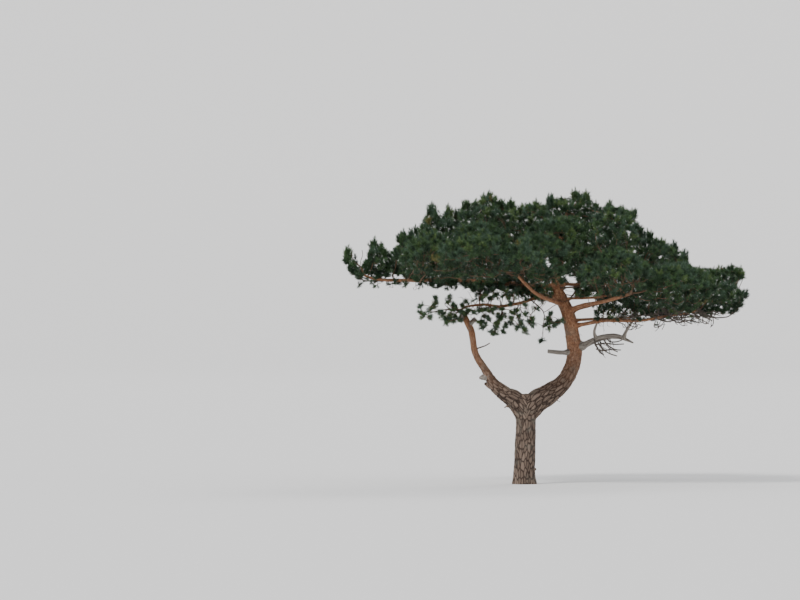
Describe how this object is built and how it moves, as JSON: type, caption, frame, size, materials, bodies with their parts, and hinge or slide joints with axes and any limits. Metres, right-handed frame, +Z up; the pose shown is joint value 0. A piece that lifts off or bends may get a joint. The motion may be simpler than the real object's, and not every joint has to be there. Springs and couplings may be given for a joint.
{
  "type": "scots pine tree",
  "caption": "Wind-shaped pine with a forked trunk, a wide flat-bottomed umbrella crown and a bare dead bough.",
  "frame": {"origin": "centre of the flat cut under the trunk, at ground level", "axes": "+Z up; +X along the crown's wide side, away from the long level bough; +Y across the crown, away from the side that the picture shows"},
  "size_m": [7.2672, 5.5491, 5.3209],
  "materials": {
    "trunk_bark": "grey-brown plated bark with dark fissures",
    "upper_bark": "thin flaking orange-brown bark",
    "dead_wood": "weathered grey bare wood",
    "needles": "blue-green paired needles in brush-like shoots"
  },
  "bodies": {
    "root": {"trunk": "trunk_bark", "leader_lower": "trunk_bark", "left_limb_lower": "trunk_bark", "leader_upper": "upper_bark", "left_limb_upper": "upper_bark", "bough_left_low": "upper_bark", "bough_left_long": "upper_bark", "bough_right_low": "upper_bark", "bough_right_back": "upper_bark", "bough_right_middle": "upper_bark", "bough_right_upper": "upper_bark", "bough_right_high": "upper_bark", "bough_front_left": "upper_bark", "bough_front_right": "upper_bark", "bough_back_left": "upper_bark", "bough_back_right": "upper_bark", "left_snag": "dead_wood", "left_stub": "dead_wood", "leader_stub": "dead_wood", "dead_bough": "dead_wood", "dead_shoot_left": "dead_wood", "dead_shoot_right": "dead_wood", "mass_left_tip": "needles", "mass_left_end": "needles", "mass_left_shoulder": "needles", "mass_left_low": "needles", "mass_left_top": "needles", "mass_left_middle": "needles", "mass_top_left": "needles", "mass_centre_left": "needles", "mass_top_middle": "needles", "mass_top_crest": "needles", "mass_centre_right": "needles", "mass_top_right": "needles", "mass_right_middle": "needles", "mass_right_shoulder": "needles", "mass_right_low": "needles", "mass_right_end": "needles", "mass_right_crest": "needles", "mass_right_sprays": "needles", "mass_left_sprays": "needles", "mass_low_sprays": "needles", "mass_front_inner_far_left": "needles", "mass_front_inner_left": "needles", "mass_front_inner_middle": "needles", "mass_front_inner_right": "needles", "mass_front_inner_far_right": "needles", "mass_front_outer_left": "needles", "mass_front_outer_middle": "needles", "mass_front_outer_right": "needles", "mass_back_inner_far_left": "needles", "mass_back_inner_left": "needles", "mass_back_inner_middle": "needles", "mass_back_inner_right": "needles", "mass_back_inner_far_right": "needles", "mass_back_outer_left": "needles", "mass_back_outer_middle": "needles", "mass_back_outer_right": "needles"}
  },
  "joints": []
}
